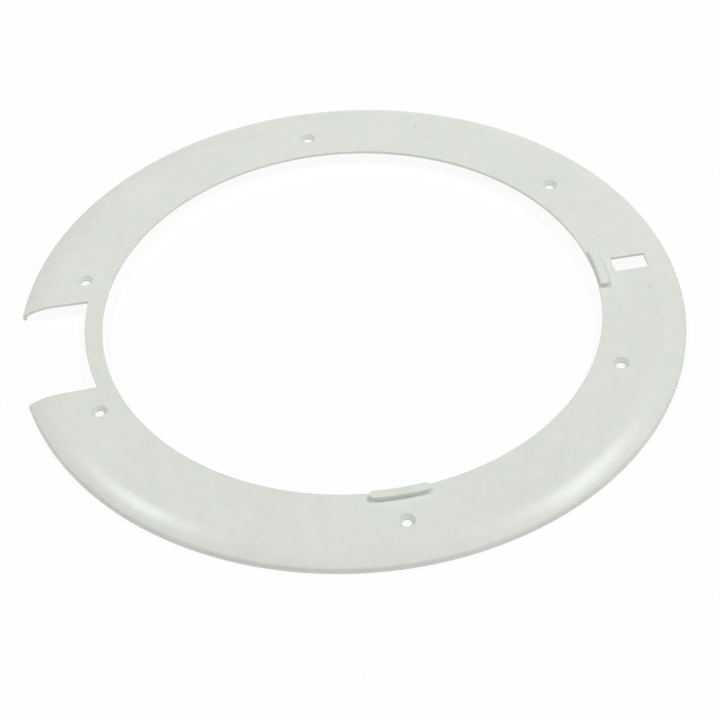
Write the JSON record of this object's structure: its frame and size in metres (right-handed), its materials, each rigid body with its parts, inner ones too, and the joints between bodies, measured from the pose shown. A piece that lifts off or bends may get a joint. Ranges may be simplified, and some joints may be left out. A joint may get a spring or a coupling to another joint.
{
  "type": "washing machine door frame",
  "caption": "Round moulded plastic inner door frame for a front-loading washer, with a flat face, curved lip, hinge notch, latch slot, raised ribs and countersunk screw holes.",
  "frame": {"origin": "centre of the round opening, level with the flat face (the opening's wall hangs just below that level); the middle of the rim is 2 mm from it, towards +Y", "axes": "+Z out of the flat face, +X towards the latch slot, so that the hinge notch opens towards -X"},
  "size_m": [0.3863, 0.39, 0.0115],
  "materials": {
    "frame_plastic": "satin moulded plastic, pale grey-white, fine even grain"
  },
  "bodies": {
    "root": {"door_frame_ring": "frame_plastic"}
  },
  "joints": []
}
